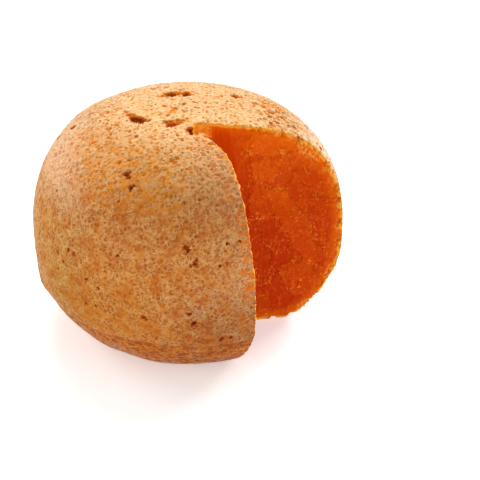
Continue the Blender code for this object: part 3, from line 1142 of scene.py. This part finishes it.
def crust_tints(on):
    """Tints of whole regions, some of them painted shade: how much of each, and its colour."""
    return (
        # painted shade: the lower part of the ball darkened, where the floor's shadow falls
        (on.z.eased(100.0, 40.0), SHADE_TINT_LOW),
        # painted shade: the crown's back dimmed where the top light and the sheen come out brightest
        (on.y.eased(-30.0, 10.0) * on.x.eased(-45.0, -5.0) * on.crown, SHADE_TINT_CROWN_BACK),
        (on.z.eased(104.0, 124.0) * on.x.eased(-12.0, 16.0) * on.y.eased(-14.0, -34.0), TINT_RUDDY),
        (on.x.eased(-50.0, -80.0) * on.z.eased(120.0, 96.0), TINT_LEFT),
        (on.x.eased(-25.0, 25.0) * on.z.eased(80.0, 45.0) * on.y.eased(-40.0, -70.0), TINT_SHADED),
    )


def crust_depths(bench, mm, on):
    """Layers of painted shade in the groove, of the rind under it, and of the large holes' walls and
    floors; the floors are the rind's red-brown darkened partly as painted shade.
    """
    wavy = wandering_height(bench, mm)
    # painted shade along the groove's crease
    crease_shade = wavy.bell(GROOVE_HEIGHT / MM, 1.5) * on.z.eased(10.0, 20.0)
    mottle = bench.noise(bench.warped(mm, 4.0, 1.5), 3.4, 3.0, 0.65).eased(0.42, 0.58)
    # the holes' floors go darker with depth: partly their own red-brown, partly painted shade in the recess
    floor = on.hole.eased(0.14, 0.36).toward(on.hole.eased(0.36, 0.85), on.crown)
    return (
        (crease_shade * on.patch.eased(0.36, 0.52) * 0.55, GROOVE_SHADE),
        (wavy.eased(33.0, 28.0) * (mottle * -0.35 + 0.80), bench.blend(mottle, UNDER_DARK, UNDER_TAN)),
        (on.hole.eased(0.0, 0.16), bench.blend(on.crown, HOLE_WALL_SIDE, HOLE_WALL_CROWN)),
        (floor, bench.blend(on.crown, HOLE_FLOOR_SIDE_BROWN_AND_SHADE, HOLE_FLOOR_CROWN_BROWN_AND_SHADE)),
    )


def crust_finish():
    """Dry, pumice-like crust: pale strands on orange-brown, paler and with orange pits on the crown."""
    material, bench, shader, mm = new_finish("crust")
    on = CrustMarks(bench, mm)
    layers = (*crust_strands(bench, on), crust_bloom_and_rim_light(on), *crust_by_near_cut(bench, mm, on))
    covered = bench.layered(crust_ground(bench, on), layers)
    tinted = bench.layered(covered, crust_tints(on), "MULTIPLY")
    bench.plug(bench.layered(tinted, crust_depths(bench, mm, on)), shader.inputs["Base Color"])

    shader.inputs["IOR"].default_value = 1.45
    shader.inputs["Specular IOR Level"].default_value = 0.06
    edge_on = Flow(bench, bench.add("ShaderNodeLayerWeight").outputs["Facing"]).eased(0.60, 0.96)
    velvet = (on.lace * 0.20 + 0.06 + edge_on * 0.90) * (on.hollow * -0.6 + 1.0)
    bench.plug(velvet, shader.inputs["Sheen Weight"])
    shader.inputs["Sheen Roughness"].default_value = 0.25
    shader.inputs["Sheen Tint"].default_value = (1.0, 0.92, 0.80, 1.0)
    bench.plug((on.dust - 0.5) * 0.2 + 0.86, shader.inputs["Roughness"])
    raised = on.lace * 0.40 + (on.dust - 0.5) * 0.40 + (on.fleck - 0.5) * 0.5
    relief = raised + on.speck * -0.40 + on.strokes * on.furrow * -0.15
    bump(bench, shader, relief * (on.shoulder * 0.6 + 1.0), 0.70)
    return material


# The paste, from its smooth heart to the skin
# PASTE_LOW to PASTE_HIGH is painted shade: the paste darker low in the notch, lighter towards the top
PASTE_LOW = srgb(190, 49, 0)
PASTE_HIGH = srgb(208, 74, 0)
PASTE_HIGH_BROKEN = srgb(210, 76, 0)
STREAK = srgb(240, 124, 4)
PLATE = srgb(236, 108, 0)
FLAKE_AND_EDGE_HIGHLIGHT = srgb(250, 142, 38)
CRYSTAL = srgb(252, 186, 84)
RIM_GLOW_ORANGE = srgb(240, 116, 0)
RIM_GLOW_YELLOW = srgb(255, 172, 44)
CRUMB = srgb(248, 172, 76)
BURNT = srgb(208, 104, 36)
SKIN = srgb(232, 168, 96)
POCKET_LIGHT = srgb(252, 178, 58)
POCKET_DEEP = srgb(236, 132, 22)
HOLE_IN_PASTE = srgb(180, 66, 10)

CRYSTAL_SPACING = 3.2       # mm


def crystals(bench, mm):
    """Tiny round crystals, in some of the places where one could be."""
    place = bench.warped(mm, 2.0, 0.4)
    present = bench.cell_luck(place, CRYSTAL_SPACING)[0].calc("GREATER_THAN", 0.58)
    return bench.cells(place, CRYSTAL_SPACING).eased(0.15, 0.09) * present


def paste_body(bench, mm, z, broken, streak, plate):
    """Deep orange, lighter higher up as painted shade that deepens down into the notch, and lighter in
    streaks and on the broken plates.
    """
    cloud = bench.noise(mm, 24.0, 3.0, 0.55)
    # painted shade: darker low in the notch, where less light reaches
    high = (z + (cloud - 0.5) * 30.0).eased(60.0, 140.0)
    smooth = bench.blend(high, PASTE_LOW, PASTE_HIGH)
    rough = bench.blend(high, PASTE_LOW, PASTE_HIGH_BROKEN)
    return bench.layered(bench.blend(broken * 0.8, smooth, rough), (
        (streak.eased(0.50, 0.74) * (broken * 0.30 + 0.08), STREAK),
        (plate.eased(0.1, 0.7) * (high * 0.24 + 0.16), PLATE),
    ))


def paste_finish():
    """Deep orange paste: pale flaky edges that are partly a painted highlight, faint streaks and tiny
    crystals, a painted glow under the skin, brown only at the very skin.
    """
    material, bench, shader, mm = new_finish("paste")
    x, y, z = mm.parts()
    depth = skin_depth(x, y, z) - 0.7 + (bench.noise(mm, 4.0, 2.0) - 0.5) * 1.2
    edge, plate, broken = noted_values(bench, "flakes")
    hole = noted_values(bench, "pits")[2]
    streak = bench.noise(bench.warped(mm, 14.0, 6.0).vector("MULTIPLY", (1.0, 1.0, 0.25)), 3.4, 4.0, 0.65)
    grain = bench.noise(mm, 1.1, 2.0, 0.6)
    crumbly = plate.eased(1.0, 1.8)
    shreds = bench.noise(bench.warped(mm, 2.0, 0.8).vector("MULTIPLY", (1.0, 1.0, 0.7)), 1.4, 3.0, 0.65)
    scattered = bench.noise(mm, 9.0, 3.0, 0.6).eased(0.42, 0.62) * broken
    # pale flakes of the paste, and on the brinks of ledges and plates a painted highlight
    flaky = (edge + scattered * 0.24 + broken * 0.05) * shreds.eased(0.50, 0.62)
    spots = bench.noise(bench.warped(mm, 3.0, 1.0), 3.6, 2.0).eased(0.54, 0.62)
    burnt = x.eased(58.0, 70.0) * y.eased(-30.0, -20.0) * depth.eased(6.5, 1.0) * spots
    colour = bench.layered(paste_body(bench, mm, z, broken, streak, plate), (
        (flaky.smaller(1.0), FLAKE_AND_EDGE_HIGHLIGHT),
        (crystals(bench, mm) * 0.55 * broken, CRYSTAL),
        # painted glow: the paste lighter and yellower close under the crust, standing in for light shining
        # through the thin crust
        (depth.eased(9.0, 1.5) * 0.50, RIM_GLOW_ORANGE),
        (depth.eased(2.4, 1.0) * 0.90, RIM_GLOW_YELLOW),
        (crumbly * shreds.eased(0.45, 0.58) * 0.75, CRUMB),
        (burnt * 0.8, BURNT),
        (depth.eased(0.30, 0.0), SKIN),
        (plate.eased(2.1, 2.9), bench.blend(streak.eased(0.40, 0.60), POCKET_LIGHT, POCKET_DEEP)),
        (hole.eased(0.10, 0.60), HOLE_IN_PASTE),
    ))
    bench.plug(colour, shader.inputs["Base Color"])

    shader.inputs["IOR"].default_value = 1.46
    shader.inputs["Specular IOR Level"].default_value = 0.14
    shader.inputs["Specular Tint"].default_value = (1.0, 0.50, 0.12, 1.0)
    bench.plug(depth.eased(1.0, 3.0) * 0.15, shader.inputs["Subsurface Weight"])
    shader.inputs["Subsurface Radius"].default_value = (1.0, 0.30, 0.05)
    shader.inputs["Subsurface Scale"].default_value = 2.0 * MM
    bench.plug((streak - 0.5) * 0.25 + crumbly * 0.25 + 0.44, shader.inputs["Roughness"])
    strokes = bench.noise(mm.vector("MULTIPLY", (1.0, 1.0, 0.08)), 0.8, 2.0)
    relief = (grain - 0.5) * 0.6 + (strokes - 0.5) * 0.5 + (streak - 0.5) * 0.6 + flaky * 0.6
    bump(bench, shader, relief, 0.22)
    return material


# ---------------------------------------------------------------- the cheese

def split_crust(crust, material):
    """The crust's foot and three sides, with the material given to the cut faces between them."""
    slab = foot_slab(material)
    pieces = [cut(copied(crust, "crust_foot"), slab, "INTERSECT")]
    sides = cut(copied(crust, "crust_sides"), slab, "DIFFERENCE")
    for name, start, end in zip(CRUST_NAMES, CRUST_SPLITS, CRUST_SPLITS[1:]):
        sector = sector_block(name + "_sector", start, end, material)
        pieces.append(cut(copied(sides, name), sector, "INTERSECT"))
        discard(sector)
    discard(slab)
    discard(sides)
    return pieces


def make_cheese():
    """Carve the whole ball, cut the notch out of it, and part it into crust and paste."""
    crust_material = crust_finish()
    paste_material = paste_finish()
    draw = random.Random(HOLE_SEED)
    large = large_holes(draw)
    holes = hole_guide("holes", large)
    smaller_holes = hole_guide("smaller_holes", holes_beside(large, draw))
    ball = crust_ball(crust_material, holes, smaller_holes)
    whole_ball = copied(ball, "whole_ball")
    notch = notch_block(paste_material)
    core = core_ball(paste_material)

    cut(ball, notch, "DIFFERENCE")
    paste = cut(copied(ball, "paste"), core, "INTERSECT")
    cut(ball, core, "DIFFERENCE")
    crust = split_crust(ball, paste_material)
    for piece in crust + [paste]:
        carried_over(piece, whole_ball, "pits")
        shaded(piece)
    carried_over(paste, notch, "flakes")
    seams_hidden(crust, shaded(ball))
    for guide in (holes, smaller_holes, whole_ball, notch, core, ball):
        discard(guide)
    for piece in crust + [paste]:
        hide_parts("cheese")
        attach(piece, "root")


# ---------------------------------------------------------------- camera, floor and light

VIEW_ELEVATION = math.radians(30.0)
VIEW_DISTANCE = 1.400
VIEW_TURN = 0.0241          # radians to the right, so that the cheese stands left of the picture's middle
VIEW_DIP = -0.0058          # radians
LENS = 161.5                # mm, as is the sensor's width
SENSOR_WIDTH = 36.0
VIEW_END = 20.0             # nothing farther off is seen

FLOOR_HALF = 6.0
FLOOR_COLOUR = (0.85, 0.85, 0.84, 1.0)
FLOOR_GLOW = 0.42
ROOM_GLOW = 0.60
WHITE = (1.0, 1.0, 1.0, 1.0)

LIGHT_TARGET = Vector((0.0, 0.0, 0.08))
# Soft round lights: name, place, width in metres, watts
LIGHTS = (
    ("top_light", (-0.10, 0.92, 1.22), 0.9, 13.6),
    ("right_rim", (1.10, 1.05, 0.70), 0.8, 26.0),
    ("left_rim", (-1.25, 0.85, 0.60), 0.8, 10.0),
    ("front_fill", (-1.3, -1.1, 0.9), 1.2, 3.4),
)


def add_camera():
    """Camera in front of the cheese and above it, turned a little off its axis."""
    back = Vector((0.0, -math.cos(VIEW_ELEVATION), math.sin(VIEW_ELEVATION)))
    ahead = -back
    right = Vector((1.0, 0.0, 0.0))
    up = right.cross(ahead)
    turned_right = math.cos(VIEW_TURN) * right - math.sin(VIEW_TURN) * ahead
    turned_ahead = math.sin(VIEW_TURN) * right + math.cos(VIEW_TURN) * ahead
    dipped_up = math.cos(VIEW_DIP) * up - math.sin(VIEW_DIP) * turned_ahead
    dipped_ahead = math.sin(VIEW_DIP) * up + math.cos(VIEW_DIP) * turned_ahead
    data = bpy.data.cameras.new("camera")
    data.lens = LENS
    data.sensor_width = SENSOR_WIDTH
    data.clip_end = VIEW_END
    camera = bpy.data.objects.new("camera", data)
    bpy.context.scene.collection.objects.link(camera)
    turn = Matrix((turned_right, dipped_up, -dipped_ahead)).transposed().to_4x4()
    place = Matrix.Translation(Vector((0.0, 0.0, WIDEST_HEIGHT)) + back * VIEW_DISTANCE)
    camera.matrix_world = place @ turn
    bpy.context.scene.camera = camera


def add_floor():
    """Plain pale floor that the cheese stands on."""
    half = FLOOR_HALF
    corners = [(-half, -half, 0.0), (half, -half, 0.0), (half, half, 0.0), (-half, half, 0.0)]
    mesh = bpy.data.meshes.new("floor")
    mesh.from_pydata(corners, [], [(0, 1, 2, 3)])
    material = bpy.data.materials.new("pale_floor")
    material.use_nodes = True
    shader = material.node_tree.nodes["Principled BSDF"]
    shader.inputs["Base Color"].default_value = FLOOR_COLOUR
    shader.inputs["Roughness"].default_value = 0.7
    shader.inputs["Specular IOR Level"].default_value = 0.2
    shader.inputs["Emission Color"].default_value = WHITE
    shader.inputs["Emission Strength"].default_value = FLOOR_GLOW
    mesh.materials.append(material)
    floor = new_piece("floor", mesh)


def add_lights():
    """Soft lights, brightest from behind, in an evenly lit room."""
    for name, place, width, watts in LIGHTS:
        data = bpy.data.lights.new(name, "AREA")
        data.shape = "DISK"
        data.size = width
        data.energy = watts
        light = bpy.data.objects.new(name, data)
        bpy.context.scene.collection.objects.link(light)
        light.location = place
        light.rotation_euler = (LIGHT_TARGET - Vector(place)).to_track_quat("-Z", "Y").to_euler()
    world = bpy.data.worlds.new("soft_room")
    world.use_nodes = True
    background = world.node_tree.nodes["Background"]
    background.inputs["Color"].default_value = WHITE
    background.inputs["Strength"].default_value = ROOM_GLOW
    bpy.context.scene.world = world
    bpy.context.scene.view_settings.view_transform = "Standard"


add_camera()
add_floor()
add_lights()
make_cheese()
